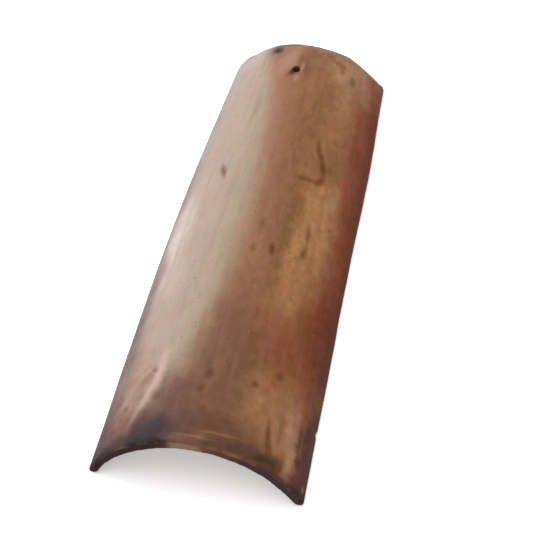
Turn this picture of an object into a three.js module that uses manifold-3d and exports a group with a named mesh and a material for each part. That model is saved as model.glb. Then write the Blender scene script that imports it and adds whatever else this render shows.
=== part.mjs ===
// Tapered barrel roof tile of hand-made clay, the kind laid in overlapping courses
// with the hollow side down (covers) or up (channels).
// One fired piece: a slab formed over a tapered mould, so its wall is an arch whose
// width and height both fall from the wide end to the narrow end. It stands on two
// narrow feet, the trimmed long edges. One nail hole is punched near the narrow end.
// Millimetres. X runs across the tile, Y up the roof from the wide end to the narrow
// end, Z up. The origin is on the floor, under the middle of the tile.
import * as THREE from 'three';
import { mergeVertices } from 'three/addons/utils/BufferGeometryUtils.js';
import Module from 'manifold-3d';

// Overall form
const tileLength = 500;
const wideEndWidth = 200; // over the feet, before their arrises are rounded
const narrowEndWidth = 150;
const wideEndHeight = 70;
const narrowEndHeight = 55;

// Wall
const crownWall = 10.5; // along the ridge
const footWidth = 9; // what each long edge stands on, arrises included

// Arrises, rounded with a wet hand before firing
const outerArris = 3;
const innerArris = 1.5;

// The left long edge swelled out a little while the clay was soft
const edgeBow = 6;
const bowFromWideEnd = 275; // where the swelling is widest

// Nail hole, punched downwards through the leather-hard wall
const nailHoleRadius = 3.4;
const nailHoleFromNarrowEnd = 33;
const nailHoleFromRidge = -5.7; // to the left of the ridge
const punchMouthRadius = 5.4; // the clay draws in round the punch
const punchMouthDepth = 2;
const breakoutRadius = 4.6; // where the punch left the wall
const breakoutDepth = 1.2;

// Facets
const arcSteps = 44; // along each face of the arch
const arrisSteps = 4;
const bodySteps = 22; // along the length
const holeSteps = 32;
const mouthSteps = 4;
const cutterOverrun = 6; // past each face of the wall

// The circle through both feet and the crown of an arch.
function archCircle(halfWidth, height) {
  const radius = (halfWidth * halfWidth + height * height) / (2 * height);
  return { radius, centreZ: height - radius };
}

// How much of the bow a place along the tile has: none at the ends, all at the peak.
function bowShare(y) {
  const skew = Math.log(0.5) / Math.log(bowFromWideEnd / tileLength);
  return Math.sin(Math.PI * Math.pow(y / tileLength, skew));
}

// The two circles of the wall at a distance y from the wide end.
function wallAt(y) {
  const share = y / tileLength;
  const bow = edgeBow * bowShare(y);
  const halfWidth = THREE.MathUtils.lerp(wideEndWidth, narrowEndWidth, share) / 2 + bow / 2;
  const height = THREE.MathUtils.lerp(wideEndHeight, narrowEndHeight, share);
  return {
    middleX: -bow / 2,
    outer: archCircle(halfWidth, height),
    inner: archCircle(halfWidth - footWidth, height - crownWall),
  };
}

// A point of a circle, by its angle from straight up, positive to the right.
function onCircle(circle, middleX, angle) {
  return new THREE.Vector2(
    middleX + circle.radius * Math.sin(angle),
    circle.centreZ + circle.radius * Math.cos(angle)
  );
}

function arcPoints(circle, middleX, from, to) {
  const points = [];
  for (let i = 0; i <= arcSteps; i++) {
    points.push(onCircle(circle, middleX, THREE.MathUtils.lerp(from, to, i / arcSteps)));
  }
  return points;
}

// The points of a rounded corner, without its two ends.
function cornerPoints(start, corner, end) {
  const curve = new THREE.QuadraticBezierCurve(start, corner, end);
  return curve.getPoints(arrisSteps).slice(1, -1);
}

// The closed outline of the wall at y, clockwise seen from the wide end. inset runs from
// 0 in the body to 1 at an end face, where the arrises have taken their full bite.
function section(y, inset) {
  const { middleX, outer, inner } = wallAt(y);
  outer.radius -= outerArris * inset;
  inner.radius += innerArris * inset;
  const floorZ = innerArris * inset;

  const outerFoot = Math.acos((floorZ - outer.centreZ) / outer.radius);
  const innerFoot = Math.acos((floorZ - inner.centreZ) / inner.radius);
  const outerEnd = outerFoot - outerArris / outer.radius;
  const innerEnd = innerFoot - innerArris / inner.radius;

  const outerPoints = arcPoints(outer, middleX, -outerEnd, outerEnd);
  const innerPoints = arcPoints(inner, middleX, innerEnd, -innerEnd);

  // The right foot, from the outer face to the inner face.
  const outerCorner = onCircle(outer, middleX, outerFoot);
  const innerCorner = onCircle(inner, middleX, innerFoot);
  const landOut = new THREE.Vector2(outerCorner.x - outerArris, floorZ);
  const landIn = new THREE.Vector2(innerCorner.x + innerArris, floorZ);
  const rightFoot = [
    ...cornerPoints(outerPoints.at(-1), outerCorner, landOut),
    landOut,
    landIn,
    ...cornerPoints(landIn, innerCorner, innerPoints[0]),
  ];
  const leftFoot = rightFoot
    .map((p) => new THREE.Vector2(2 * middleX - p.x, p.y))
    .reverse();
  return [...outerPoints, ...rightFoot, ...innerPoints, ...leftFoot];
}

// Where sections stand along the tile, with the inset of each.
function stations() {
  const ends = [];
  for (let i = 0; i < arrisSteps; i++) {
    const turn = (i / arrisSteps) * (Math.PI / 2);
    ends.push({ y: outerArris * (1 - Math.cos(turn)), inset: 1 - Math.sin(turn) });
  }
  const body = [];
  for (let i = 0; i <= bodySteps; i++) {
    const y = THREE.MathUtils.lerp(outerArris, tileLength - outerArris, i / bodySteps);
    body.push({ y, inset: 0 });
  }
  const farEnds = ends.map(({ y, inset }) => ({ y: tileLength - y, inset })).reverse();
  return [...ends, ...body, ...farEnds];
}

// A closed skin over sections that all have the same number of points.
function loft(places) {
  const outlines = places.map(({ y, inset }) => section(y, inset));
  const count = outlines[0].length;
  const positions = [];
  outlines.forEach((outline, row) => {
    const y = places[row].y - tileLength / 2;
    outline.forEach((p) => positions.push(p.x, y, p.y));
  });

  const triangles = [];
  for (let row = 0; row < outlines.length - 1; row++) {
    for (let i = 0; i < count; i++) {
      const next = (i + 1) % count;
      const a = row * count + i;
      const b = row * count + next;
      triangles.push(a, b, b + count, a, b + count, a + count);
    }
  }

  // End faces: a strip between the two arcs and a fan over each foot.
  const capEnd = (row, facesWideEnd) => {
    const first = row * count;
    const addFace = (a, b, c) => {
      const corners = facesWideEnd ? [a, c, b] : [a, b, c];
      triangles.push(...corners.map((i) => first + i));
    };
    const innerStart = count / 2;
    const innerEnd = innerStart + arcSteps;
    for (let i = 0; i < arcSteps; i++) {
      addFace(i, i + 1, innerEnd - i);
      addFace(i + 1, innerEnd - i - 1, innerEnd - i);
    }
    for (let i = arcSteps + 1; i < innerStart; i++) {
      addFace(arcSteps, i, i + 1);
    }
    for (let i = innerEnd; i < count - 1; i++) {
      addFace(0, i, i + 1);
    }
  };
  capEnd(0, true);
  capEnd(outlines.length - 1, false);

  const geometry = new THREE.BufferGeometry();
  geometry.setAttribute('position', new THREE.Float32BufferAttribute(positions, 3));
  geometry.setIndex(triangles);
  return geometry;
}

// The punch that makes the nail hole: a pin that flares at both faces of the wall.
function nailPunch() {
  const y = tileLength - nailHoleFromNarrowEnd;
  const { middleX, outer, inner } = wallAt(y);
  const across = nailHoleFromRidge - middleX;
  const topZ = outer.centreZ + Math.sqrt(outer.radius ** 2 - across ** 2);
  const underZ = inner.centreZ + Math.sqrt(inner.radius ** 2 - across ** 2);

  const profile = [
    new THREE.Vector2(0, underZ - cutterOverrun),
    new THREE.Vector2(breakoutRadius, underZ - cutterOverrun),
    new THREE.Vector2(breakoutRadius, underZ),
    new THREE.Vector2(nailHoleRadius, underZ + breakoutDepth),
  ];
  for (let i = 0; i <= mouthSteps; i++) {
    const turn = (i / mouthSteps) * (Math.PI / 2);
    profile.push(
      new THREE.Vector2(
        THREE.MathUtils.lerp(punchMouthRadius, nailHoleRadius, Math.cos(turn)),
        topZ - punchMouthDepth * (1 - Math.sin(turn))
      )
    );
  }
  profile.push(new THREE.Vector2(punchMouthRadius, topZ + cutterOverrun));
  profile.push(new THREE.Vector2(0, topZ + cutterOverrun));

  const geometry = new THREE.LatheGeometry(profile, holeSteps);
  geometry.rotateX(Math.PI / 2);
  geometry.translate(nailHoleFromRidge, y - tileLength / 2, 0);
  return geometry;
}

const wasm = await Module();
wasm.setup();

function toSolid(geometry) {
  geometry.deleteAttribute('normal');
  geometry.deleteAttribute('uv');
  const merged = mergeVertices(geometry);
  return new wasm.Manifold(
    new wasm.Mesh({
      numProp: 3,
      vertProperties: merged.attributes.position.array,
      triVerts: new Uint32Array(merged.index.array),
    })
  );
}

function toGeometry(solid) {
  const { vertProperties, triVerts } = solid.getMesh();
  const geometry = new THREE.BufferGeometry();
  geometry.setAttribute('position', new THREE.Float32BufferAttribute(vertProperties, 3));
  geometry.setIndex(new THREE.BufferAttribute(triVerts, 1));
  geometry.computeVertexNormals();
  return geometry;
}

const wall = toSolid(loft(stations()));
const tile = new THREE.Mesh(
  toGeometry(wall.subtract(toSolid(nailPunch()))),
  new THREE.MeshStandardMaterial({ color: 0x9c6a4c, roughness: 0.6, metalness: 0 })
);
tile.name = 'barrel_tile';

const group = new THREE.Group();
group.add(tile);

export default group;
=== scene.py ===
import math

import bmesh
import bpy
from mathutils import Matrix, Vector


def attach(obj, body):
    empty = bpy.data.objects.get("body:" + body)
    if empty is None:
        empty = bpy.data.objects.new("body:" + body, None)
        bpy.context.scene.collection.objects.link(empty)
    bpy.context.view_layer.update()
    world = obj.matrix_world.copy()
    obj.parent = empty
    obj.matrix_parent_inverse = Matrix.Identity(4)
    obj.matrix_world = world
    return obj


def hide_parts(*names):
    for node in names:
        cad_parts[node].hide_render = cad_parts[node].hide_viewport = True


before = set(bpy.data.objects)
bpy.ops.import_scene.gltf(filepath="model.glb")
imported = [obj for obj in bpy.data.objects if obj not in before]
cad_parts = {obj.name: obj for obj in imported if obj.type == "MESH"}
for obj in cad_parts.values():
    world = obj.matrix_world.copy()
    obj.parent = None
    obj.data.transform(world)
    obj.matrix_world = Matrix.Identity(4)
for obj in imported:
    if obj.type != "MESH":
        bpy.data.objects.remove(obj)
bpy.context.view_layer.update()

# Metres. X runs across the tile, Y from its wide end to its narrow end, Z up.
scene = bpy.context.scene
scene.view_settings.view_transform = "Standard"


def deselectAll():
    if bpy.context.object and bpy.context.object.mode != "OBJECT":
        bpy.ops.object.mode_set(mode="OBJECT")
    bpy.ops.object.select_all(action="DESELECT")


def pick(piece):
    deselectAll()
    piece.select_set(True)
    bpy.context.view_layer.objects.active = piece


def applyModifier(piece, kind, **settings):
    pick(piece)
    bpy.ops.object.modifier_add(type=kind)
    modifier = piece.modifiers[-1]
    for name, value in settings.items():
        setattr(modifier, name, value)
    bpy.ops.object.modifier_apply(modifier=modifier.name)


def feed(tree, socket, value):
    if isinstance(value, bpy.types.NodeSocket):
        tree.links.new(value, socket)
    else:
        socket.default_value = value


def addNode(tree, kind, **settings):
    node = tree.nodes.new("ShaderNode" + kind)
    for name, value in settings.items():
        setattr(node, name, value)
    return node


def calc(tree, operation, *values):
    node = addNode(tree, "Math", operation=operation)
    for socket, value in zip(node.inputs, values):
        feed(tree, socket, value)
    return node.outputs[0]


def vectorCalc(tree, operation, *values):
    node = addNode(tree, "VectorMath", operation=operation)
    for socket, value in zip(node.inputs, values):
        feed(tree, socket, value)
    return node.outputs


# camera, light and floor
shot = {
    "azimuth": 14.88,
    "elevation": 51.21,
    "roll": -3.2,
    "distance": 2.7747,
    "lens": 195.79,
    "sensor": 36,
    "clipEnd": 20,
    "target": (0.01167, 0.00854, 0.0),
}


def setCamera():
    azimuth, elevation = math.radians(shot["azimuth"]), math.radians(shot["elevation"])
    back = Vector((
        math.sin(azimuth) * math.cos(elevation),
        -math.cos(azimuth) * math.cos(elevation),
        math.sin(elevation),
    ))
    right = Vector((math.cos(azimuth), math.sin(azimuth), 0.0))
    turn = Matrix((right, back.cross(right), back)).transposed()
    turn = turn @ Matrix.Rotation(math.radians(shot["roll"]), 3, "Z")
    bpy.ops.object.camera_add()
    camera = bpy.context.object
    camera.name = "camera"
    camera.data.lens = shot["lens"]
    camera.data.sensor_width = shot["sensor"]
    camera.data.clip_end = shot["clipEnd"]
    spot = Vector(shot["target"]) + back * shot["distance"]
    camera.matrix_world = Matrix.Translation(spot) @ turn.to_4x4()
    scene.camera = camera


white = (1.0, 1.0, 1.0, 1.0)
studio = {
    "skylight": 0.35,
    "floorSize": 12.0,
    "floorDrop": 0.0002,
    "floorColour": (0.9, 0.9, 0.9, 1.0),
    "floorRoughness": 0.9,
    # from and to which distance its glow grows, and how strong it is there
    "floorGlow": (0.5, 1.3, 0.42, 1.0),
}
lamps = {
    "window": {"at": (-1.6, 0.9, 0.8), "size": (2.0, 1.2), "watts": 36},
    "overhead": {"at": (-0.2, -0.5, 2.0), "size": (1.6, 1.6), "watts": 24},
}


def setLamps():
    for name, lamp in lamps.items():
        at = Vector(lamp["at"])
        bpy.ops.object.light_add(type="AREA", location=at)
        light = bpy.context.object
        light.name = name
        light.data.shape = "RECTANGLE"
        light.data.size, light.data.size_y = lamp["size"]
        light.data.energy = lamp["watts"]
        light.rotation_euler = (-at).to_track_quat("-Z", "Y").to_euler()


def seenOrMirrored(tree):  # 1 for rays from the camera or off a gloss, 0 for light
    path = addNode(tree, "LightPath")
    value = path.outputs["Is Camera Ray"]
    for name in ("Is Glossy Ray", "Is Transmission Ray"):
        value = calc(tree, "MAXIMUM", value, path.outputs[name])
    return value


def setWorld():
    world = bpy.data.worlds.new("studio")
    world.use_nodes = True
    tree = world.node_tree
    backdrop = tree.nodes["Background"]
    backdrop.inputs["Color"].default_value = white
    strength = addNode(tree, "MapRange")
    strength.inputs["To Min"].default_value = studio["skylight"]
    feed(tree, strength.inputs["Value"], seenOrMirrored(tree))
    feed(tree, backdrop.inputs["Strength"], strength.outputs["Result"])
    scene.world = world


def setFloor():
    deselectAll()
    bpy.ops.mesh.primitive_plane_add(
        size=studio["floorSize"], location=(0.0, 0.0, -studio["floorDrop"])
    )
    floor = bpy.context.object
    floor.name = "floor"
    paper = bpy.data.materials.new("paleFloor")
    paper.use_nodes = True
    tree = paper.node_tree
    shader = tree.nodes["Principled BSDF"]
    shader.inputs["Base Color"].default_value = studio["floorColour"]
    shader.inputs["Roughness"].default_value = studio["floorRoughness"]
    shader.inputs["Emission Color"].default_value = white
    # white where it is far from the lamps, for the eye only
    away = vectorCalc(tree, "LENGTH", addNode(tree, "TexCoord").outputs["Object"])["Value"]
    glow = addNode(tree, "MapRange")
    for name, value in zip(("From Min", "From Max", "To Min", "To Max"), studio["floorGlow"]):
        glow.inputs[name].default_value = value
    feed(tree, glow.inputs["Value"], away)
    seen = calc(tree, "MULTIPLY", seenOrMirrored(tree), glow.outputs["Result"])
    feed(tree, shader.inputs["Emission Strength"], seen)
    floor.data.materials.append(paper)


setCamera()
setLamps()
setWorld()
setFloor()
print("camera, lamps and floor set")

tileForm = {
    "length": 0.5,
    "wideWidth": 0.2,
    "narrowWidth": 0.15,
    "wideHeight": 0.07,
    "narrowHeight": 0.055,
    "crownWall": 0.0105,
    "footWidth": 0.009,
    "outerArris": (0.003, 2),  # width and steps
    "innerArris": (0.0015, 1),
    "bow": 0.006,
    "bowPlace": 0.55,  # share of the length, from the wide end
    "rightSwell": (0.0018, 0.14, 0.13),  # how far, its place along the tile and its reach
    "columns": 33,
    "rows": 68,
    "smoothing": 2,
    "sharpAngle": 38,
}
slack = {"skin": 1e-4, "place": 1e-5}  # how far off a vertex may lie and still count


def archCircle(width, height):
    radius = (width * width / 4 + height * height) / (2 * height)
    return radius, height - radius


def archAt(y, inner=False):
    share = y / tileForm["length"] + 0.5
    width = tileForm["wideWidth"] + (tileForm["narrowWidth"] - tileForm["wideWidth"]) * share
    height = tileForm["wideHeight"] + (tileForm["narrowHeight"] - tileForm["wideHeight"]) * share
    if inner:
        width -= 2 * tileForm["footWidth"]
        height -= tileForm["crownWall"]
    return width, height


def sweepArch(y, inner):
    width, height = archAt(y, inner)
    radius, centre = archCircle(width, height)
    bpy.ops.mesh.select_mode(type="VERT")
    bpy.ops.mesh.select_all(action="DESELECT")
    # a plane merged to one point is spun into the arch
    bpy.ops.mesh.primitive_plane_add(size=0.002, location=(width / 2, y, 0.0))
    bpy.ops.mesh.merge(type="CENTER")
    bpy.ops.mesh.spin(
        steps=tileForm["columns"],
        angle=2 * math.acos(-centre / radius),
        center=(0.0, y, centre),
        axis=(0.0, 1.0, 0.0),
    )


def onSkin(point, inner):
    radius, centre = archCircle(*archAt(point.y, inner))
    return abs(math.hypot(point.x, point.z - centre) - radius) < slack["skin"]


def onFloor(a, b):
    return abs(a.z) < slack["place"] and abs(b.z) < slack["place"]


def atEnd(a, b, y):
    return abs(a.y - y) < slack["place"] and abs(b.y - y) < slack["place"]


def selectEdges(piece, test):
    bpy.ops.mesh.select_mode(type="EDGE")
    bpy.ops.mesh.select_all(action="DESELECT")
    mesh = bmesh.from_edit_mesh(piece.data)
    for edge in mesh.edges:
        edge.select = test(edge.verts[0].co, edge.verts[1].co)
    bmesh.update_edit_mesh(piece.data)


def formTile():
    deselectAll()
    bpy.ops.mesh.primitive_plane_add()
    tile = bpy.context.object
    tile.name = "clayBarrelTile"
    end = tileForm["length"] / 2
    bpy.ops.object.mode_set(mode="EDIT")
    bpy.ops.mesh.delete(type="VERT")
    for inner in (False, True):
        sweepArch(-end, inner)
        sweepArch(end, inner)
        selectEdges(tile, lambda a, b: onSkin(a, inner) and onSkin(b, inner))
        bpy.ops.mesh.bridge_edge_loops(number_cuts=tileForm["rows"] - 1, interpolation="LINEAR")

    for side in (1, -1):
        alongFoot = lambda a, b: a.x * side > 0 and abs(a.y - b.y) > slack["skin"]
        selectEdges(tile, lambda a, b: onFloor(a, b) and alongFoot(a, b))
        bpy.ops.mesh.bridge_edge_loops()
    for y in (-end, end):
        selectEdges(tile, lambda a, b: atEnd(a, b, y) and not onFloor(a, b))
        bpy.ops.mesh.bridge_edge_loops()
    bpy.ops.mesh.select_all(action="SELECT")
    bpy.ops.mesh.normals_make_consistent(inside=False)

    # both arrises, outer first: along the feet and round the ends
    isArris = lambda a, b: onFloor(a, b) or atEnd(a, b, end) or atEnd(a, b, -end)
    for inner, arris in ((False, "outerArris"), (True, "innerArris")):
        selectEdges(tile, lambda a, b: onSkin(a, inner) and onSkin(b, inner) and isArris(a, b))
        width, steps = tileForm[arris]
        bpy.ops.mesh.bevel(offset=width, segments=steps, affect="EDGES")
    bpy.ops.object.mode_set(mode="OBJECT")
    return tile


def bowEdges(tile):
    length = tileForm["length"]
    skew = math.log(0.5) / math.log(tileForm["bowPlace"])
    swellOut, swellPlace, reach = tileForm["rightSwell"]
    for vertex in tile.data.vertices:
        y = min(max(vertex.co.y, -length / 2), length / 2)
        width = archAt(y)[0]
        swell = math.sin(math.pi * (y / length + 0.5) ** skew)
        vertex.co.x -= tileForm["bow"] * swell * (0.5 - vertex.co.x / width)
        away = min(abs(y - swellPlace) / reach, 1.0)
        swell = 0.5 + 0.5 * math.cos(math.pi * away)
        vertex.co.x += swellOut * swell * max(vertex.co.x / width * 2, 0.0)


def smoothTile(tile):
    levels = tileForm["smoothing"]
    applyModifier(tile, "SUBSURF", levels=levels, render_levels=levels)
    bpy.ops.object.shade_smooth()


# the wall's arc: radii and centres' heights, each as a start, what it gains along the tile
# and what the bow adds; the middle's shift by the bow; and the length of one radian
wallSums = {
    "radius": (0.10643, -0.02779, 0.0043),
    "centre": (-0.03643, 0.01279, -0.0043),
    "middle": -0.003,
    "innerRadius": (0.09934, -0.02815, 0.0043),
    "innerCentre": (-0.03984, 0.01315, -0.0043),
    "arcScale": 0.0925,
}


# where a point lies on the wall: along the arc from the ridge, along the tile, and
# under the outer skin; the same sums are in the material's wallPlace group
def wallPlace(point):
    share = min(max(point.y / tileForm["length"] + 0.5, 0.0), 1.0)
    swell = math.sin(math.pi * share)
    radius, centre = (
        start + slope * share + bow * swell
        for start, slope, bow in (wallSums["radius"], wallSums["centre"])
    )
    across = point.x - wallSums["middle"] * swell
    upward = point.z - centre
    return Vector((
        math.atan2(across, upward) * wallSums["arcScale"],
        point.y,
        radius - math.hypot(across, upward),
    ))


def ramp(value, low, high):
    share = min(max((value - low) / (high - low), 0.0), 1.0)
    return share * share * (3 - 2 * share)


# straight strokes that trimmed the narrow end: corners between them (mm across), how far
# they push, how hollow they are, how far in they show; and the right foot's drawn-out tip:
# from and to which place across (mm), how far right and how far on
farTrim = {
    "corners": (-125, -101, -38, -13, 25, 52, 111, 125),
    "push": 0.0021,
    "sag": 6e-7,
    "reach": 0.035,
    "tip": (98, 115, -0.0003, 0.0028),
}


def trimFarEnd(tile):
    end = tileForm["length"] / 2
    corners = farTrim["corners"]
    for vertex in tile.data.vertices:
        near = ramp(vertex.co.y, end - farTrim["reach"], end)
        across = wallPlace(vertex.co).x * 1000
        for start, stop in zip(corners, corners[1:]):
            if near > 0 and start <= across < stop:
                share = (across - start) / (stop - start)
                sag = min(farTrim["sag"] * (stop - start) ** 2, farTrim["push"])
                vertex.co.y += near * (farTrim["push"] - 4 * sag * share * (1 - share))
        start, stop, outward, onward = farTrim["tip"]
        drawn = near * ramp(across, start, stop)
        vertex.co += Vector((outward * drawn, onward * drawn, 0.0))


# zones of the wall, from none to all: height above the floor (wall, feet), depth under the
# outer skin (skin, underside), distance from an end (ends)
zones = {
    "wall": (0.001, 0.012),
    "skin": (0.002, 0.004),
    "underside": (0.0062, 0.0078),
    "ends": (0.02, 0.002),
    "feet": (0.02, 0.002),
}
# size of the noise (metres), how far it moves the clay, in which zone, how long it is drawn
# out along the tile, and the way it pushes
handWork = {
    "waves": (0.085, 0.0022, "wall", 2.2, "NORMAL"),
    "wipes": (0.011, 0.00044, "skin", 9.0, "NORMAL"),
    "pats": (0.02, 0.0007, "wall", 1.0, "NORMAL"),
    "sand": (0.004, 0.0008, "underside", 1.0, "NORMAL"),
    "ends": (0.035, 0.0018, "ends", 1.0, "Y"),
    "feet": (0.06, 0.0012, "feet", 1.0, "X"),
}


def groupWall(tile):
    end = tileForm["length"] / 2
    groups = {name: tile.vertex_groups.new(name=name) for name in zones}
    for vertex in tile.data.vertices:
        height, depth = vertex.co.z, wallPlace(vertex.co).z
        off = ramp(height, *zones["wall"])
        weights = {
            "wall": off,
            "skin": off * (1 - ramp(depth, *zones["skin"])),
            "underside": off * ramp(depth, *zones["underside"]),
            "ends": ramp(end - abs(vertex.co.y), *zones["ends"]),
            "feet": ramp(height, *zones["feet"]),
        }
        for name, weight in weights.items():
            if weight > 0:
                groups[name].add([vertex.index], weight, "REPLACE")


def workClay(tile):
    for name, (size, strength, zone, stretch, way) in handWork.items():
        deselectAll()
        bpy.ops.object.empty_add()
        guide = bpy.context.object
        guide.scale = (1.0, stretch, 1.0)
        texture = bpy.data.textures.new(name, "CLOUDS")
        texture.noise_scale = size
        texture.noise_depth = 3
        applyModifier(
            tile, "DISPLACE", texture=texture, texture_coords="OBJECT",
            texture_coords_object=guide, vertex_group=zone, strength=strength, direction=way,
        )
        bpy.data.objects.remove(guide)


# dents (and ridges, where the depth is negative), in millimetres: the place across and
# along that each starts and ends at, how far the clay moved round it, and its depth
dents = {
    "hookTop": ((42, 131), (48, 115), 4, 0.45),
    "hookMid": ((48, 115), (53, 92), 4, 0.5),
    "hookEnd": ((53, 92), (49, 79), 4.5, 0.45),
    "hookTail": ((47, 78), (31, 79), 4, 0.3),
    "ovalPit": ((-50, 88), (-45, 75), 4.5, 0.7),
    "pitA": ((24, -10), (24, -20), 4, 0.6),
    "pitB": ((8, -14), (8, -20), 4, 0.35),
    "nailLineA": ((50, 32), (52, 8), 3.5, 0.35),
    "nailLineB": ((52, 2), (50, -14), 3.5, 0.35),
    "thumbLeft": ((-47, -164), (-59, -178), 5, 0.6),
    "smearA": ((-41, -150), (-40, -170), 6.5, -0.6),
    "smearB": ((-40, -170), (-46, -190), 6.5, -0.9),
    "smearC": ((-46, -190), (-56, -236), 7, -0.9),
    "smearEdge": ((-33, -180), (-46, -232), 7, 0.5),
    "spotPit": ((-38, 240), (-31, 242), 6, 1),
    "punchDrag": ((-6, 214), (-12, 207), 4, 0.7),
    "punchLip": ((1, 221), (3, 211), 4.5, -0.45),
    "wedge": ((58, -200), (58, -220), 4.5, 0.5),
    "edgeNick": ((111, -172), (113, -175), 4, 1.3),
    "chipA": ((66, -249), (72, -249), 5.5, 1),
    "chipB": ((44, -250), (47, -250), 4, 0.9),
    "chipC": ((-92, -250), (-96, -250), 5, 1.2),
    "chipD": ((-18, -250), (-8, -250), 4, 0.7),
    "chipE": ((20, 250), (26, 250), 4.5, 0.4),
    "chipF": ((-70, 250), (-66, 250), 4.5, 0.5),
}
# metres: how deep in the wall, and how far beside its line, a dent takes hold
pressing = {"intoWall": 0.0045, "besideLine": 0.0013}


def pressDents(tile):
    places = [wallPlace(vertex.co) for vertex in tile.data.vertices]
    pick(tile)
    bpy.ops.object.mode_set(mode="EDIT")
    bpy.ops.mesh.select_mode(type="VERT")
    for start, stop, reach, depth in dents.values():
        start = Vector(start) / 1000
        line = Vector(stop) / 1000 - start
        bpy.ops.mesh.select_all(action="DESELECT")
        mesh = bmesh.from_edit_mesh(tile.data)
        for vertex, place in zip(mesh.verts, places):
            if place.z > pressing["intoWall"]:
                continue
            offset = place.xy - start
            share = min(max(offset.dot(line) / line.length_squared, 0.0), 1.0)
            vertex.select = (offset - line * share).length < pressing["besideLine"]
        mesh.select_flush_mode()
        bmesh.update_edit_mesh(tile.data)
        bpy.ops.transform.shrink_fatten(
            value=-depth / 1000,
            use_proportional_edit=True,
            proportional_edit_falloff="SMOOTH",
            proportional_size=reach / 1000,
        )
    bpy.ops.object.mode_set(mode="OBJECT")


nailPunch = {
    "at": (-0.0057, 0.217),
    "under": 0.0454,
    "top": 0.0558,
    # height from the underside (or from the top, in the second list) and radius
    "fromUnder": ((-0.006, 0.0040), (-0.0016, 0.0034), (0.0012, 0.0034)),
    "fromTop": (
        (-0.0022, 0.0034), (-0.0012, 0.0037), (-0.0004, 0.0043), (0.0003, 0.0054), (0.004, 0.0062)
    ),
    "lean": (0.000105, -0.00035),
    "sides": 36,
    # clay pushed out below: how far, from and to which radius, and from how deep in the wall
    "burr": (0.0017, 0.0035, 0.0085, 0.006),
}


def punchNailHole(tile):
    rings = [(nailPunch["under"] + lift, radius) for lift, radius in nailPunch["fromUnder"]]
    rings += [(nailPunch["top"] + lift, radius) for lift, radius in nailPunch["fromTop"]]
    push, rim, reach, depth = nailPunch["burr"]
    for vertex in tile.data.vertices:
        away = (vertex.co.xy - Vector(nailPunch["at"])).length
        if away < reach and wallPlace(vertex.co).z > depth:
            vertex.co.z -= push * (1 - ramp(away, rim, reach))
    deselectAll()
    height, radius = rings[0]
    bpy.ops.mesh.primitive_circle_add(
        vertices=nailPunch["sides"], radius=radius, fill_type="NGON",
        location=(*nailPunch["at"], height),
    )
    punch = bpy.context.object
    bpy.ops.object.mode_set(mode="EDIT")
    bpy.ops.mesh.select_all(action="SELECT")
    for nextHeight, nextRadius in rings[1:]:
        step = (*nailPunch["lean"], nextHeight - height)
        bpy.ops.mesh.extrude_region_move(TRANSFORM_OT_translate={"value": step})
        scale = nextRadius / radius
        bpy.ops.transform.resize(value=(scale, scale, 1.0))
        height, radius = nextHeight, nextRadius
    bpy.ops.mesh.select_all(action="SELECT")
    bpy.ops.mesh.normals_make_consistent(inside=False)
    bpy.ops.object.mode_set(mode="OBJECT")
    applyModifier(tile, "BOOLEAN", operation="DIFFERENCE", solver="EXACT", object=punch)
    bpy.data.objects.remove(punch)


def settleFeet(tile):
    for vertex in tile.data.vertices:
        vertex.co.z = max(vertex.co.z, 0.0)
    tile.vertex_groups.clear()
    pick(tile)
    bpy.ops.object.shade_smooth_by_angle(angle=math.radians(tileForm["sharpAngle"]))


tile = formTile()
bowEdges(tile)
smoothTile(tile)
trimFarEnd(tile)
print("tile formed:", len(tile.data.polygons), "faces")
groupWall(tile)
workClay(tile)
pressDents(tile)
punchNailHole(tile)
settleFeet(tile)
print("clay worked:", len(tile.data.polygons), "faces", [round(v, 4) for v in tile.dimensions])


# red, green and blue, as a paint program shows them
clayColours = {
    "mauveEdge": (146, 134, 129),
    "mauveShade": (98, 79, 77),
    "flankPink": (146, 113, 100),
    "flankDusk": (112, 76, 68),
    # the pale left flank's clay, lightened further: partly its own colour, partly painted sheen
    "paleClaySheen": (156, 136, 122),
    "paleBuff": (155, 137, 117),
    # pale rosy colour of the painted highlight on the left flank
    "rosyPaleHighlight": (192, 175, 168),
    "limeWash": (160, 150, 145),
    "tanBrown": (155, 125, 101),
    "brownClay": (147, 104, 79),
    "warmBrown": (141, 96, 66),
    "umberClay": (115, 80, 60),
    "ochreClay": (162, 113, 74),
    "goldClay": (188, 135, 88),
    "tanClay": (180, 135, 103),
    "pinkClay": (178, 148, 134),
    "flaxClay": (200, 156, 120),
    "roseClay": (150, 104, 86),
    "rustClay": (148, 82, 52),
    "redClay": (134, 65, 31),
    "deepRed": (99, 38, 16),
    "crimsonClay": (158, 74, 66),
    "smokePurple": (92, 59, 50),
    "smokeMauve": (92, 64, 64),
    "smokeBlue": (44, 33, 39),
    "maroonStain": (88, 40, 34),
    "oliveStain": (112, 84, 44),
    "darkOlive": (66, 48, 28),
    "brownFleck": (102, 58, 23),
    "charcoal": (34, 24, 25),
    "soot": (24, 16, 13),
    "plumSmoke": (66, 42, 46),
    "plumBrown": (80, 48, 41),
    "darkMaroon": (60, 29, 28),
    "peatBrown": (92, 60, 46),
    "greyBrown": (117, 92, 83),
    "rosePink": (132, 99, 98),
    "slateClay": (58, 44, 50),
    "wornClay": (140, 116, 102),
    "dustClay": (150, 134, 122),
    "russet": (114, 71, 45),
    "umberOlive": (122, 86, 52),
    "ochreBrown": (140, 92, 46),
    "edgeOlive": (80, 54, 38),
    "paleLime": (206, 190, 174),
    "coreClay": (104, 74, 60),
    "sandyClay": (166, 116, 84),
    "sandGrain": (196, 168, 138),
}


def shade(name):
    return tuple(((value / 255 + 0.055) / 1.055) ** 2.4 for value in clayColours[name]) + (1.0,)


def invert(tree, value):
    return calc(tree, "SUBTRACT", 1.0, value)


def times(tree, first, second):
    return calc(tree, "MULTIPLY", first, second)


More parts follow.
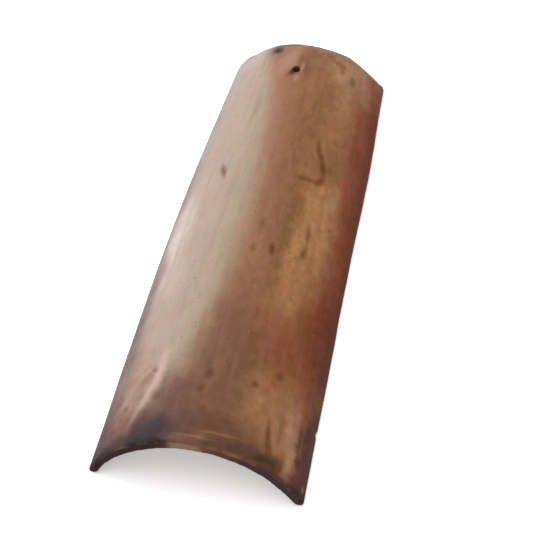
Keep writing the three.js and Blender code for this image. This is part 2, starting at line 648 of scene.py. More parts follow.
def swing(tree, noise, amount, level=1.0):  # round a level, by a noise of 0 to 1
    return calc(tree, "MULTIPLY_ADD", calc(tree, "SUBTRACT", noise, 0.5), amount, level)


def mixColour(tree, amount, under, over, blend="MIX"):
    node = addNode(tree, "Mix", data_type="RGBA", blend_type=blend)
    feed(tree, node.inputs[0], amount)
    feed(tree, node.inputs[6], under)
    feed(tree, node.inputs[7], over)
    return node.outputs[2]


def scaleColour(tree, colour, value):  # a grey made here keeps the shader within its stack
    grey = addNode(tree, "CombineColor")
    for socket in grey.inputs:
        feed(tree, socket, value)
    return mixColour(tree, 1.0, colour, grey.outputs[0], "MULTIPLY")


def rise(tree, value, low, high, top=1.0):  # smooth step from 0 to top
    node = addNode(tree, "MapRange", interpolation_type="SMOOTHSTEP")
    feed(tree, node.inputs["Value"], value)
    feed(tree, node.inputs["From Min"], low)
    feed(tree, node.inputs["From Max"], high)
    feed(tree, node.inputs["To Max"], top)
    return node.outputs["Result"]


def fall(tree, value, low, high):  # smooth step from 1 to 0
    return invert(tree, rise(tree, value, low, high))


def fillBand(band, stops):
    band.elements[0].position, band.elements[0].color = stops[0]
    band.elements[1].position, band.elements[1].color = stops[-1]
    for spot, colour in stops[1:-1]:
        band.elements.new(spot).color = colour


def newGroup(name, inputs, outputs):
    kinds = {"value": "NodeSocketFloat", "vector": "NodeSocketVector", "colour": "NodeSocketColor"}
    group = bpy.data.node_groups.new(name, "ShaderNodeTree")
    for way, sockets in (("INPUT", inputs), ("OUTPUT", outputs)):
        for label, kind in sockets.items():
            group.interface.new_socket(name=label, in_out=way, socket_type=kinds[kind])
    taken, given = group.nodes.new("NodeGroupInput"), group.nodes.new("NodeGroupOutput")
    return group, taken.outputs, given.inputs


def useGroup(tree, group, **values):
    node = addNode(tree, "Group", node_tree=group)
    for label, value in values.items():
        feed(tree, node.inputs[label], value)
    return node.outputs


def makeWallPlace():
    outputs = {"Place": "vector", "Along": "value", "Height": "value", "Above underside": "value"}
    group, _, given = newGroup("wallPlace", {}, outputs)
    split = addNode(group, "SeparateXYZ")
    feed(group, split.inputs[0], addNode(group, "TexCoord").outputs["Object"])
    share = calc(group, "MULTIPLY_ADD", split.outputs["Y"], 1 / tileForm["length"], 0.5)
    share = calc(group, "MINIMUM", calc(group, "MAXIMUM", share, 0.0), 1.0)
    swell = calc(group, "SINE", times(group, share, math.pi))

    def along(start, slope, bow):
        straight = calc(group, "MULTIPLY_ADD", share, slope, start)
        return calc(group, "MULTIPLY_ADD", swell, bow, straight)

    across = calc(group, "MULTIPLY_ADD", swell, -wallSums["middle"], split.outputs["X"])
    upward = calc(group, "SUBTRACT", split.outputs["Z"], along(*wallSums["centre"]))
    upwardInner = calc(group, "SUBTRACT", split.outputs["Z"], along(*wallSums["innerCentre"]))

    def reach(height):
        squares = [calc(group, "POWER", side, 2.0) for side in (across, height)]
        return calc(group, "SQRT", calc(group, "ADD", *squares))

    place = addNode(group, "CombineXYZ")
    arc = calc(group, "ARCTAN2", across, upward)
    feed(group, place.inputs[0], times(group, arc, wallSums["arcScale"]))
    feed(group, place.inputs[1], split.outputs["Y"])
    depth = calc(group, "SUBTRACT", along(*wallSums["radius"]), reach(upward))
    feed(group, place.inputs[2], depth)
    feed(group, given["Place"], place.outputs[0])
    feed(group, given["Along"], split.outputs["Y"])
    feed(group, given["Height"], split.outputs["Z"])
    above = calc(group, "SUBTRACT", reach(upwardInner), along(*wallSums["innerRadius"]))
    feed(group, given["Above underside"], above)
    return group


def makeWobble():
    inputs = {"Place": "vector", "Scale": "value", "Amount": "value"}
    group, taken, given = newGroup("wobble", inputs, {"Place": "vector"})
    noise = addNode(group, "TexNoise")
    noise.inputs["Detail"].default_value = 4.0
    noise.inputs["Roughness"].default_value = 0.6
    feed(group, noise.inputs["Vector"], taken["Place"])
    feed(group, noise.inputs["Scale"], taken["Scale"])
    centred = vectorCalc(group, "SUBTRACT", noise.outputs["Color"], (0.5, 0.5, 0.5))[0]
    moved = addNode(group, "VectorMath", operation="SCALE")
    feed(group, moved.inputs[0], centred)
    feed(group, moved.inputs["Scale"], taken["Amount"])
    added = vectorCalc(group, "ADD", taken["Place"], moved.outputs[0])[0]
    feed(group, given["Place"], added)
    return group


def makeStain():  # an oval stain with a soft border
    inputs = {
        "Colour": "colour", "Place": "vector", "Centre": "vector", "Short axis": "vector",
        "Long axis": "vector", "Inside": "value", "Outside": "value", "Stain": "colour",
        "Strength": "value",
    }
    group, taken, given = newGroup("stain", inputs, {"Colour": "colour", "Mask": "value"})
    offset = vectorCalc(group, "SUBTRACT", taken["Place"], taken["Centre"])[0]
    short = vectorCalc(group, "DOT_PRODUCT", offset, taken["Short axis"])["Value"]
    long = vectorCalc(group, "DOT_PRODUCT", offset, taken["Long axis"])["Value"]
    far = calc(group, "MULTIPLY_ADD", short, short, times(group, long, long))
    shown = fall(group, calc(group, "SQRT", far), taken["Inside"], taken["Outside"])
    mask = times(group, shown, taken["Strength"])
    feed(group, given["Colour"], mixColour(group, mask, taken["Colour"], taken["Stain"]))
    feed(group, given["Mask"], mask)
    return group


def makeSpeckle():  # dots in a share of the cells, from 0.4 to 1.2 of the size
    inputs = {"Place": "vector", "Scale": "value", "Size": "value", "Share": "value"}
    group, taken, given = newGroup("speckle", inputs, {"Mask": "value"})
    cells = addNode(group, "TexVoronoi")
    feed(group, cells.inputs["Vector"], taken["Place"])
    feed(group, cells.inputs["Scale"], taken["Scale"])
    chosen = addNode(group, "SeparateColor")
    feed(group, chosen.inputs[0], cells.outputs["Color"])
    kept = calc(group, "LESS_THAN", chosen.outputs[0], taken["Share"])
    size = times(group, taken["Size"], calc(group, "MULTIPLY_ADD", chosen.outputs[1], 0.8, 0.4))
    dot = fall(group, cells.outputs["Distance"], times(group, size, 0.5), size)
    feed(group, given["Mask"], times(group, dot, kept))
    return group


def makeMottle():  # light and dark by a noise, 0 to 1 round a half, stretched by the scale
    inputs = {"Place": "vector", "Scale": "vector", "Detail": "value"}
    group, taken, given = newGroup("mottle", inputs, {"Value": "value"})
    scaled = vectorCalc(group, "MULTIPLY", taken["Place"], taken["Scale"])[0]
    noise = addNode(group, "TexNoise")
    noise.inputs["Scale"].default_value = 1.0
    noise.inputs["Roughness"].default_value = 0.6
    feed(group, noise.inputs["Vector"], scaled)
    feed(group, noise.inputs["Detail"], taken["Detail"])
    feed(group, given["Value"], noise.outputs["Fac"])
    return group


# across, along, half width, half length (mm), turn (degrees), softness (0 sharp, 1 faded
# from the middle), colour, strength
blotches = {
    # painted highlight: a pale rosy sheen laid on in colour along the left flank
    "leftRosy": (-79, 4, 14, 48, -4, 0.9, "rosyPaleHighlight", 0.8),
    "rosyLow": (-68, -50, 14, 26, 0, 0.9, "rosyPaleHighlight", 0.35),
    "leftPink": (-93, -34, 12, 25, -6, 0.9, "rosePink", 0.85),
    # painted shade: these two mauve stains darken the left arris, where the edge lies in shade
    "leftEdge": (-108, 130, 14, 110, 0, 0.7, "mauveShade", 0.45),
    "leftEdgeUpper": (-98, 66, 10, 46, 0, 0.9, "mauveShade", 0.35),
    "leftLimeTop": (-66, 240, 26, 14, 0, 0.7, "limeWash", 0.6),
    # painted shade: a wide mauve band darkening the left edge
    "leftMauve": (-106, -105, 25, 80, 0, 0.8, "mauveShade", 0.9),
    "boundaryRose": (-9, 145, 6, 40, 14, 0.8, "roseClay", 0.5),
    "boundaryPink": (-23, -62, 7, 42, 3, 0.9, "pinkClay", 0.3),
    "boundaryGrey": (-13, -152, 16, 32, 6, 0.8, "greyBrown", 0.6),
    "umberSeam": (6, -132, 17, 76, 3, 0.8, "umberClay", 0.88),
    "umberCentre": (14, -148, 21, 42, 0, 0.8, "umberClay", 0.88),
    "goldUpper": (56, 30, 19, 62, -4, 0.6, "goldClay", 0.75),
    "goldLower": (47, -52, 13, 34, 10, 0.8, "goldClay", 0.35),
    "tanGlow": (66, 66, 6, 13, 0, 0.8, "tanClay", 0.8),
    "tanTop": (53, 233, 34, 20, 0, 0.6, "tanClay", 0.95),
    "flaxTop": (41, 230, 15, 11, 0, 0.9, "flaxClay", 0.45),
    "brownTop": (8, 232, 26, 26, 0, 0.8, "roseClay", 0.35),
    "brownTopDark": (9, 230, 19, 27, 0, 0.8, "umberClay", 0.55),
    "ridgeBrown": (-1, 193, 8, 19, 0, 0.9, "brownClay", 0.7),
    "orangeTop": (82, 218, 10, 14, 0, 0.8, "tanClay", 0.7),
    "ochreTop": (57, 197, 12, 32, 0, 0.8, "tanClay", 0.5),
    "rustTop": (101, 234, 18, 20, 0, 0.7, "rustClay", 0.66),
    "rightTopLight": (96, 245, 12, 9, 0, 0.8, "brownClay", 0.6),
    # painted shade: a mauve band along the right arris at the narrow end's corner
    "cornerDusk": (114, 240, 7, 18, 0, 0.9, "mauveShade", 0.6),
    "rosyCorner": (85, 232, 8, 10, 0, 0.9, "crimsonClay", 0.25),
    "leftTopRose": (-34, 217, 12, 13, 0, 0.9, "roseClay", 0.56),
    "edgeTan": (81, -7, 9, 22, 0, 0.9, "brownClay", 0.42),
    "rustUpper": (82, 112, 11, 22, 0, 0.9, "rustClay", 0.45),
    "edgeDusk": (95, 124, 11, 60, 0, 0.9, "edgeOlive", 0.2),
    "brownHook": (55, 107, 15, 18, 0, 0.8, "russet", 0.4),
    "crimsonSpot": (80, 100, 12, 14, 0, 0.8, "crimsonClay", 0.55),
    "umberBand": (31, 8, 7, 56, -3, 0.9, "umberOlive", 0.55),
    "umberTopBand": (31, 165, 11, 52, 0, 0.8, "umberClay", 0.4),
    "russetSpread": (47, -122, 27, 36, 20, 0.9, "russet", 0.68),
    "russetUpper": (68, -92, 13, 20, 10, 0.9, "russet", 0.5),
    "redSweep": (84, -92, 17, 48, 14, 0.7, "redClay", 0.95),
    "deepSweep": (97, -86, 12, 62, 6, 0.7, "deepRed", 0.8),
    "sweepShade": (80, -112, 20, 36, 8, 0.9, "edgeOlive", 0.3),
    "rustSweep": (58, -122, 19, 34, 24, 0.7, "rustClay", 0.85),
    "smokeWide": (-28, -211, 36, 40, -6, 0.5, "smokePurple", 0.84),
    "smokeDeep": (-30, -230, 32, 22, 0, 0.7, "smokeMauve", 0.8),
    "smokeBeside": (-31, -206, 14, 26, -12, 0.7, "smokeMauve", 0.3),
    "edgeOlive": (110, -70, 8, 100, 0, 0.8, "edgeOlive", 0.7),
    "smokeRight": (104, -200, 13, 64, 0, 0.5, "plumBrown", 0.94),
    # the pale flank's clay and painted sheen laid again, with a sharp border along the smear
    "flankWedge": (-77, -172, 34, 80, 0, 0.12, "paleClaySheen", 0.95),
    "flankPinkLow": (-76, -190, 29, 50, 0, 0.8, "flankPink", 0.85),
    "flankShade": (-56, -194, 10, 18, -14, 0.9, "greyBrown", 0.35),
    "flankDuskLow": (-80, -230, 42, 25, 0, 0.6, "flankDusk", 0.97),
    "flankSmoke": (-90, -240, 44, 14, 0, 0.8, "smokePurple", 0.7),
    # painted shade: the mauve band on the left edge, carried on towards the wide end
    "leftMauveLow": (-104, -140, 26, 75, 0, 0.7, "mauveShade", 0.9),
    "leftSmokeLow": (-100, -222, 19, 42, 0, 0.8, "plumSmoke", 0.95),
    "plumBeside": (-50, -222, 11, 13, -10, 0.8, "plumBrown", 0.65),
    "maroonLeft": (-62, -246, 23, 8, 0, 0.8, "darkMaroon", 0.8),
    "charcoalTip": (-98, -247, 26, 13, 0, 0.6, "charcoal", 0.9),
    "umberWide": (16, -198, 25, 36, 0, 0.7, "umberClay", 0.78),
    "umberArris": (14, -224, 44, 12, 0, 0.8, "peatBrown", 0.75),
    "ochreWide": (60, -190, 28, 40, 0, 0.5, "ochreClay", 0.85),
    "tanRound": (39, -180, 7, 6, 0, 0.9, "tanClay", 0.5),
    "tanWide": (64, -200, 20, 31, 0, 0.7, "tanClay", 0.3),
    "tanColumn": (80, -212, 7, 42, 3, 0.6, "tanClay", 0.85),
    "tanArris": (1, -243, 14, 7, 6, 0.7, "brownClay", 0.8),
    "ridgeTop": (-16, 229, 10, 20, 0, 0.8, "pinkClay", 0.4),
    "umberRight": (44, -216, 11, 14, 0, 0.9, "umberClay", 0.45),
    "arrisUmber": (35, -242, 43, 11, 4, 0.7, "smokePurple", 0.94),
    "charcoalWide": (-38, -236.5, 18, 15.5, 0, 0.6, "smokeBlue", 0.92),
    # partly burnt clay, partly painted shade: the dark of the wide end's face carried onto its
    # arris
    "charcoalArris": (-39, -249, 21, 7, 0, 0.3, "charcoal", 0.92),
    "slateArris": (78, -250, 34, 7, 6, 0.7, "slateClay", 0.85),
    "charGreen": (59, -237, 10, 6, 12, 0.7, "darkOlive", 0.8),
    "charGreenTail": (68.5, -237, 4.6, 8, 0, 0.8, "darkOlive", 0.7),
    "tanFoot": (79, -233, 4, 9, 15, 0.8, "tanClay", 0.6),
    "dustyRight": (93, -235, 8, 16, 0, 0.8, "smokePurple", 0.45),
    "plumColumn": (86.5, -210, 4.2, 13, 0, 0.8, "plumBrown", 0.55),
    "tipGreen": (107, -249, 14, 9, 0, 0.7, "charcoal", 0.8),
    "greenFlank": (99, -143, 7, 9, 0, 0.7, "oliveStain", 0.7),
    "dustyFlank": (94, -161, 6, 10, 0, 0.9, "brownClay", 0.28),
    "farGrey": (-60, 250, 44, 6, 0, 0.7, "mauveShade", 0.4),
    "farDust": (32, 251, 62, 7, 0, 0.6, "dustClay", 0.7),
    "ochreStain": (36, 238, 7, 4.5, 0, 0.8, "ochreBrown", 0.7),
    "ochreStainB": (42.5, 234, 3.4, 6, 0, 0.8, "ochreBrown", 0.7),
    "sootHalo": (-36, 240, 16, 11, 0, 0.8, "mauveShade", 0.45),
}

# the same, and a depth (mm) for those that can be felt
marks = {
    # a near-black spot over the pit by the narrow end's arris, and a dark line along that arris
    "sootSpot": (-35.5, 242, 6, 4, 0, 0.9, "soot", 0.9),
    "arrisSoot": (-19, 248.5, 10, 1.6, 0, 0.8, "soot", 0.55),
    # painted shadow: nailShadow and the near-black core below darken the hole's drag groove to its
    # lower left
    "nailShadow": (-8.2, 211.5, 3.6, 7, -32, 0.8, "brownFleck", 0.95, 0.2),
    "nailDark": (-7.4, 213.5, 3.6, 5.2, -30, 0.8, "soot", 0.62),
    # painted highlight: a pale pink spot on the raised lip right of the hole
    "nailRim": (0.9, 220, 2.2, 5, 0, 0.8, "pinkClay", 0.4),
    "nailUmber": (6.8, 216.5, 4, 6, 0, 0.9, "umberClay", 0.5),
    "oliveSpot": (61, 222, 4.4, 6, 0, 0.9, "oliveStain", 0.7),
    "ovalFleck": (-47.5, 81, 2.8, 9, 22, 0.8, "brownFleck", 0.7, 0.25),
    "hookTop": (41.5, 122, 2.8, 10, 15, 0.9, "brownFleck", 0.7, 0.12),
    "hookKnee": (45.5, 114, 2.6, 2.6, 0, 0.9, "brownFleck", 0.6),
    "hookMid": (50, 103, 3.2, 12.5, 14, 0.9, "brownFleck", 0.8, 0.15),
    "hookBlob": (50.5, 86, 3.6, 5.5, -30, 0.9, "brownFleck", 0.75, 0.2),
    "hookTail": (41, 81.5, 9.5, 3, 2, 0.9, "brownFleck", 0.55),
    "spotB": (31, 81, 3.6, 2.6, 0, 0.9, "brownFleck", 0.6),
    "dragLine": (20, 98, 1.6, 13, 8, 0.9, "umberClay", 0.5),
    "pitA": (22.5, -13, 2.8, 7.5, 8, 0.8, "brownFleck", 0.75, 0.25),
    "pitB": (6, -16.5, 2.8, 4.5, 0, 0.9, "brownFleck", 0.45),
    "pitC": (8, 12, 2.4, 7, 4, 0.9, "brownFleck", 0.4),
    "nailLineA": (51.5, 17, 2.4, 14, 5, 0.9, "brownFleck", 0.6, 0.12),
    "nailLineB": (51.3, -5, 2.8, 7.5, -8, 0.9, "brownFleck", 0.7, 0.12),
    "oliveDot": (77, -18, 2.4, 4, 0, 0.8, "oliveStain", 0.6),
    "leftPlum": (-103.5, -10, 4.5, 26, -6, 0.9, "plumSmoke", 0.6),
    "leftRose": (-99, -2, 4, 16, -6, 0.8, "rosePink", 0.5),
    "thumbHead": (-48, -165, 3.2, 2.6, -20, 0.9, "brownFleck", 0.7, 0.2),
    "thumbLeft": (-56, -176, 4.2, 11, -34, 0.9, "brownFleck", 0.4),
    "smearTop": (-42.8, -160, 4.8, 18, -2, 0.8, "pinkClay", 0.7),
    "smearMid": (-44.6, -185, 4.8, 19, -15, 0.7, "pinkClay", 0.75, -0.12),
    "smearLow": (-53.5, -207, 3.8, 16, -17, 0.8, "pinkClay", 0.34),
    "fleckWide": (-4.6, -187, 3, 4.6, -20, 0.8, "brownFleck", 0.95),
    "fleckRed": (-3.8, -157.3, 2.6, 5, 0, 0.9, "smokePurple", 0.5),
    "fleckBrown": (1, -209, 2.8, 5, 0, 0.9, "brownFleck", 0.6),
    "ochreSpot": (37, -168, 3.4, 3.6, 0, 0.8, "brownFleck", 0.7),
    "rustSpot": (56, -148, 4.4, 5, 0, 0.9, "brownFleck", 0.7),
    "rustSpotB": (52, -158, 3, 4.4, 20, 0.9, "rustClay", 0.7),
    "maroonFleck": (-1, -168, 3.4, 5, 0, 0.9, "maroonStain", 0.6),
    "rimFleck": (27, 242, 4.5, 3.4, 0, 0.8, "umberOlive", 0.6),
    # painted highlight: a pale tan spot below the hole, on a slight rise
    "nailLight": (-2.8, 203.5, 2.8, 4.6, 0, 0.9, "tanClay", 0.55, -0.08),
    "leftRedA": (-77.5, -189, 2.4, 6, -10, 0.9, "crimsonClay", 0.35),
    "leftRedB": (-69.5, -203, 2.8, 4.5, 20, 0.9, "maroonStain", 0.45),
    "oliveBar": (77, -163, 2.2, 5, -16, 0.8, "oliveStain", 0.3),
    "wedge": (57.4, -213, 2.8, 14, 7, 0.9, "brownFleck", 0.8, 0.25),
    "wedgeFoot": (59, -225, 4.8, 6, 10, 0.9, "brownFleck", 0.6),
    "wedgeBeside": (67, -205, 1.8, 17, 0, 0.9, "oliveStain", 0.45),
    "oliveLine": (88, -195, 2, 14, 3, 0.8, "darkOlive", 0.55),
    "purpleBlob": (45, -235, 7, 4.5, 10, 0.9, "smokeMauve", 0.7),
    "redSpeck": (49, -248, 4, 2.5, 0, 0.9, "crimsonClay", 0.28),
    "oliveStreak": (74, -236, 2.4, 8, -8, 0.8, "darkOlive", 0.45),
    "maroonSpot": (90, -219, 3.8, 5.5, 0, 0.8, "maroonStain", 0.8),
    "paleFleck": (104, -238, 1.6, 3, 0, 0.8, "tanClay", 0.6),
    "edgeNick": (111, -173, 2.2, 1.8, 30, 0.7, "paleLime", 0.7, 0.2),
    "tanStreakA": (20, -232, 17, 1.3, 4, 0.9, "tanClay", 0.25),
    "tanStreakB": (2, -240, 15, 1.4, -3, 0.9, "tanClay", 0.25),
    "umberStreakA": (12, -226, 19, 1.4, 3, 0.9, "brownFleck", 0.28),
    "umberStreakB": (26, -217, 14, 1.2, 4, 0.9, "brownFleck", 0.28),
    "umberStreakC": (20, -246, 16, 1.2, 2, 0.9, "brownFleck", 0.28),
}

# across, half width (mm) and colour of what shows on the wide end's face; its dark colours are
# partly burnt clay and partly painted shade
endFace = {
    "charcoalEnd": (-66, 56, "charcoal"),
    "buffEnd": (-3, 17, "tanBrown"),
    "mauveEnd": (26, 22, "smokePurple"),
    "slateEnd": (78, 46, "slateClay"),
}

# where each tone of the body lies across the tile (mm); the pale left flank's tone is partly
# painted sheen
crossTones = (
    (-115, "mauveEdge"), (-90, "mauveEdge"), (-70, "paleClaySheen"), (-46, "paleClaySheen"),
    (-18, "paleBuff"), (-8, "tanBrown"), (4, "brownClay"), (27, "warmBrown"), (45, "ochreClay"),
    (66, "ochreClay"), (80, "rustClay"), (91, "redClay"), (110, "deepRed"),
)
# share of the length, and how far (mm) the middle tones have moved to the left there
toneDrift = (
    (0.0, 36), (0.12, 26), (0.18, 12), (0.32, 4), (0.45, 0), (0.6, 0), (0.72, 5), (0.82, 11),
    (0.9, 24), (1.0, 40),
)
# half the width (mm) that the tones are spread over, and the most that they drift (mm)
toneSpread = {"half": 115, "drift": 100}

# how far the borders of small and of large stains stray
wobbles = {"near": {"Scale": 260, "Amount": 0.0022}, "far": {"Scale": 34, "Amount": 0.022}}
# noises: the place they are read at, their scale each way and their detail
noises = {
    "cloud": ("own", (38, 26, 38), 5),
    "patch": ("near", (130, 85, 130), 3),
    "wipe": ("own", (230, 8, 100), 4),
    "wipeBroad": ("own", (75, 4, 60), 3),
    "wipeAcross": ("own", (14, 330, 100), 3),
    "tint": ("near", (95, 65, 95), 2),
    "warm": ("near", (60, 45, 60), 4),
    "grain": ("own", (950, 950, 950), 4),
}
# specks: the place, cells to the metre, size in a cell and the share of cells that has one
specks = {
    "burnt": ("near", 210, 0.34, 0.1),
    "lime": ("near", 330, 0.26, 0.05),
    "pores": ("near", 620, 0.34, 0.3),
    "sand": ("own", 520, 0.5, 0.55),
}
# masks grow (or fade) from the first value to the second, up to the third: in metres, or
# in the value of a noise
masks = {
    "ridge": (0.03, 0.075),
    "wideEnd": (-0.235, -0.19),
    "brownSide": (-0.02, 0.03),
    "restlessEnd": (-0.2, -0.12),
    "roseBand": (0.5, 0.68, 0.26),
    "oliveBand": (0.5, 0.32, 0.2),
    "rosyTint": (0.52, 0.68, 0.5),
    "oliveTint": (0.48, 0.32, 0.5),
    "rustPatch": (0.52, 0.7, 0.3),
    "rustSide": (0.02, 0.05),
    "smokedEnd": (-0.249, -0.228),
    "smokePatch": (0.3, 0.6, 0.6),
    "wornNarrow": (0.2475, 0.2505),
    "wornFeet": (0.0008, 0.0035),
    "wornWide": (-0.2475, -0.2495, 0.35),
    "wornPatch": (0.4, 0.6, 0.5),
    "cut": (0.0012, 0.0032),
    "corePatch": (0.35, 0.65, 0.8),
    "wideFace": (-0.246, -0.2425),
    "faceToneAndShade": (0.6, 1.15),
    "underside": (0.0012, 0.0028),
    "rustySand": (0.3, 0.7, 0.6),
    "umberSand": (0.5, 0.7, 0.5),
    "sootySand": (-0.255, -0.225),
    "polish": (0.05, 0.3, 0.2),
}
tints = {
    "rosy": (1.08, 0.88, 0.94, 1.0),
    "olive": (0.95, 1.03, 0.82, 1.0),
    "smoke": (0.45, 0.4, 0.42, 1.0),
}
# how strongly each colours the clay; patch: where it is restless, and everywhere
strengths = {
    "cloud": 0.36, "streak": 0.17, "patch": (0.7, 0.12), "burnt": 0.3, "lime": 0.25,
    "grain": 0.5, "pores": 0.22, "faceToneAndShade": 0.85, "sand": 0.6, "soot": 0.92, "sootDrift": -0.03,
}
# how far (metres) each rises
reliefs = {"grain": 0.00012, "streak": 0.0001, "pores": -0.00012, "burnt": -0.00012, "sand": 0.0004}
# rough: what the grain adds, and what it adds to
finish = {"rough": (0.18, 0.54), "matt": 0.8, "specular": 0.12, "bump": 0.8}


def paintClay():
    clay = bpy.data.materials.new("firedClay")
    clay.use_nodes = True
    tree = clay.node_tree
    shader = tree.nodes["Principled BSDF"]
    wallPlaceGroup, wobble, stain = makeWallPlace(), makeWobble(), makeStain()
    speckle, mottle = makeSpeckle(), makeMottle()

    where = useGroup(tree, wallPlaceGroup)
    along, height = where["Along"], where["Height"]
    places = {"own": where["Place"]}
    places["near"] = useGroup(tree, wobble, Place=places["own"], **wobbles["near"])["Place"]
    places["far"] = useGroup(tree, wobble, Place=places["near"], **wobbles["far"])["Place"]

    def noise(name):
        place, scale, detail = noises[name]
        return useGroup(tree, mottle, Place=places[place], Scale=scale, Detail=detail)["Value"]

    def dots(name):
        place, scale, size, share = specks[name]
        place = places[place]
        return useGroup(tree, speckle, Place=place, Scale=scale, Size=size, Share=share)["Mask"]

    def grow(value, name):
        return rise(tree, value, *masks[name])

    def fade(value, name):
        return fall(tree, value, *masks[name])

    # tones across the tile, drifting along it
    share = calc(tree, "MULTIPLY_ADD", along, 1 / tileForm["length"], 0.5)
    drift = addNode(tree, "ValToRGB")
    drift.color_ramp.interpolation = "B_SPLINE"
    stops = [(spot, (0.0, 0.0, 0.0, shift / toneSpread["drift"])) for spot, shift in toneDrift]
    fillBand(drift.color_ramp, stops)
    feed(tree, drift.inputs[0], share)
    split = addNode(tree, "SeparateXYZ")
    feed(tree, split.inputs[0], places["far"])
    across = split.outputs["X"]
    half = toneSpread["half"]
    side = calc(tree, "ADD", across, half / 1000)
    tones = addNode(tree, "ValToRGB")
    stops = [((spot + half) / (2 * half), shade(name)) for spot, name in crossTones]
    fillBand(tones.color_ramp, stops)
    # the drift counts only near the ridge, where the pale side meets the brown one
    nearRidge = fade(calc(tree, "ABSOLUTE", across), "ridge")
    shifted = times(tree, drift.outputs["Alpha"], toneSpread["drift"] / 1000)
    side = calc(tree, "ADD", side, times(tree, shifted, nearRidge))
    feed(tree, tones.inputs[0], calc(tree, "DIVIDE", side, 2 * half / 1000))
    colour = tones.outputs["Color"]

    relief = 0.0

    def layStain(name, at, x, y, halfWidth, halfLength, turn, softness, tone, strength, depth=0):
        nonlocal colour, relief
        cosine, sine = math.cos(math.radians(turn)), math.sin(math.radians(turn))
        short, long = 1000 / halfWidth, 1000 / halfLength
        out = useGroup(tree, stain, **{
            "Colour": colour, "Place": at,
            "Centre": (x / 1000, y / 1000, 0.0),
            "Short axis": (cosine * short, sine * short, 0.0),
            "Long axis": (-sine * long, cosine * long, 0.0),
            "Inside": 1.0 - softness, "Outside": 1.0 + softness * 0.8,
            "Stain": shade(tone), "Strength": strength,
        })
        colour = out["Colour"]
        colour.node.label = name
        if depth:
            relief = calc(tree, "MULTIPLY_ADD", out["Mask"], -depth / 1000, relief)

    for name, blotch in blotches.items():
        layStain(name, places["far"], *blotch)

    # cloudy light and dark, and the streaks of the wiping hand, lengthwise and near the
    # wide end crosswise
    cloud, patch, wipe = noise("cloud"), noise("patch"), noise("wipe")
    wipeBroad, wipeAcross = noise("wipeBroad"), noise("wipeAcross")
    nearWide = fade(along, "wideEnd")
    streak = mixColour(tree, nearWide, wipe, wipeAcross)
    # the pale side is smooth, the brown side and the wide end are blotched
    restless = calc(tree, "MAXIMUM", grow(across, "brownSide"), fade(along, "restlessEnd"))
    lightness = swing(tree, cloud, strengths["cloud"])
    lightness = swing(tree, streak, strengths["streak"], lightness)
    uneven = calc(tree, "SUBTRACT", patch, 0.5)
    uneven = times(tree, uneven, calc(tree, "MULTIPLY_ADD", restless, *strengths["patch"]))
    colour = scaleColour(tree, colour, calc(tree, "ADD", lightness, uneven))
    clean = invert(tree, nearWide)
    for band, tone in (("roseBand", "roseClay"), ("oliveBand", "oliveStain")):
        bands = times(tree, grow(wipeBroad, band), clean)
        colour = mixColour(tree, bands, colour, shade(tone))
    tint = noise("tint")
    for mask, name in (("rosyTint", "rosy"), ("oliveTint", "olive")):
        colour = mixColour(tree, grow(tint, mask), colour, tints[name], "MULTIPLY")
    warm = noise("warm")
    rusty = times(tree, grow(warm, "rustPatch"), grow(across, "rustSide"))
    colour = mixColour(tree, rusty, colour, shade("rustClay"))

    for name, mark in marks.items():
        layStain(name, places["near"], *mark)

    # darker where the kiln's smoke met the wide end
    smoked = times(tree, fade(along, "smokedEnd"), grow(cloud, "smokePatch"))
    colour = mixColour(tree, smoked, colour, tints["smoke"], "MULTIPLY")

    # arrises rubbed paler by handling, less where the smoke lies
    worn = calc(tree, "MAXIMUM", grow(along, "wornNarrow"), fade(height, "wornFeet"))
    worn = calc(tree, "MAXIMUM", worn, grow(along, "wornWide"))
    worn = times(tree, worn, grow(patch, "wornPatch"))
    colour = mixColour(tree, worn, colour, shade("wornClay"))

    # grain, dark burnt specks and pale lime specks
    grain, burnt, lime, pores = noise("grain"), dots("burnt"), dots("lime"), dots("pores")
    for speck, name, tone in ((burnt, "burnt", "brownFleck"), (lime, "lime", "paleLime")):
        colour = mixColour(tree, times(tree, speck, strengths[name]), colour, shade(tone))
    fine = swing(tree, grain, strengths["grain"])
    fine = calc(tree, "SUBTRACT", fine, times(tree, pores, strengths["pores"]))
    colour = scaleColour(tree, colour, fine)

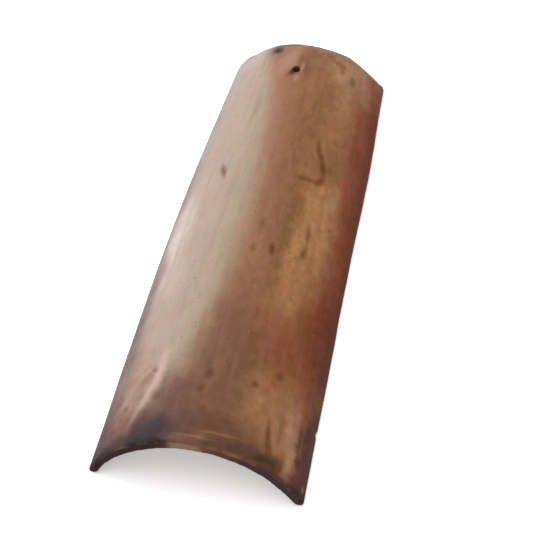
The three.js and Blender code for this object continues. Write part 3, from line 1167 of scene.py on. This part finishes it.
    # the ends, the feet and the underside
    depth = addNode(tree, "SeparateXYZ")
    feed(tree, depth.inputs[0], places["own"])
    cut = grow(depth.outputs["Z"], "cut")
    core = grow(cloud, "corePatch")
    core = mixColour(tree, core, shade("coreClay"), shade("smokePurple"))
    # the wide end's face: its colours, partly burnt clay and partly painted shade
    inWide = fade(along, "wideFace")
    for centre, halfWidth, tone in endFace.values():
        far = calc(tree, "ABSOLUTE", calc(tree, "SUBTRACT", across, centre / 1000))
        far = calc(tree, "DIVIDE", far, halfWidth / 1000)
        there = times(tree, fade(far, "faceToneAndShade"), inWide)
        core = mixColour(tree, times(tree, there, strengths["faceToneAndShade"]), core, shade(tone))
    core = scaleColour(tree, core, fine)
    colour = mixColour(tree, cut, colour, core)
    under = fade(where["Above underside"], "underside")
    sand = dots("sand")
    sandy = grow(cloud, "rustySand")
    sandy = mixColour(tree, sandy, shade("sandyClay"), shade("rustClay"))
    sandy = mixColour(tree, grow(warm, "umberSand"), sandy, shade("umberClay"))
    sandy = mixColour(tree, times(tree, sand, strengths["sand"]), sandy, shade("sandGrain"))
    sandy = scaleColour(tree, sandy, fine)
    sooty = calc(tree, "MULTIPLY_ADD", cloud, strengths["sootDrift"], along)
    sooty = times(tree, fade(sooty, "sootySand"), strengths["soot"])
    sandy = mixColour(tree, sooty, sandy, shade("plumSmoke"))
    colour = mixColour(tree, under, colour, sandy)
    feed(tree, shader.inputs["Base Color"], colour)

    # matt where it is dark or sanded, with a satin skin where the hand polished it
    light = addNode(tree, "RGBToBW")
    feed(tree, light.inputs[0], colour)
    polish = grow(light.outputs[0], "polish")
    rough = calc(tree, "MULTIPLY_ADD", grain, *finish["rough"])
    rough = calc(tree, "SUBTRACT", rough, polish)
    matt = times(tree, calc(tree, "MAXIMUM", cut, under), finish["matt"])
    feed(tree, shader.inputs["Roughness"], calc(tree, "MAXIMUM", rough, matt))
    shader.inputs["Specular IOR Level"].default_value = finish["specular"]

    for mask, name in ((grain, "grain"), (streak, "streak"), (pores, "pores"), (burnt, "burnt")):
        relief = calc(tree, "MULTIPLY_ADD", mask, reliefs[name], relief)
    sanded = times(tree, sand, times(tree, under, reliefs["sand"]))
    relief = calc(tree, "ADD", relief, sanded)
    bump = addNode(tree, "Bump")
    bump.inputs["Distance"].default_value = 1.0
    bump.inputs["Strength"].default_value = finish["bump"]
    feed(tree, bump.inputs["Height"], relief)
    feed(tree, shader.inputs["Normal"], bump.outputs[0])
    return clay


tile.data.materials.append(paintClay())
print("clay painted:", len(blotches) + len(marks), "stains")

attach(tile, "root")
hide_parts("barrel_tile")
print("tile finished")
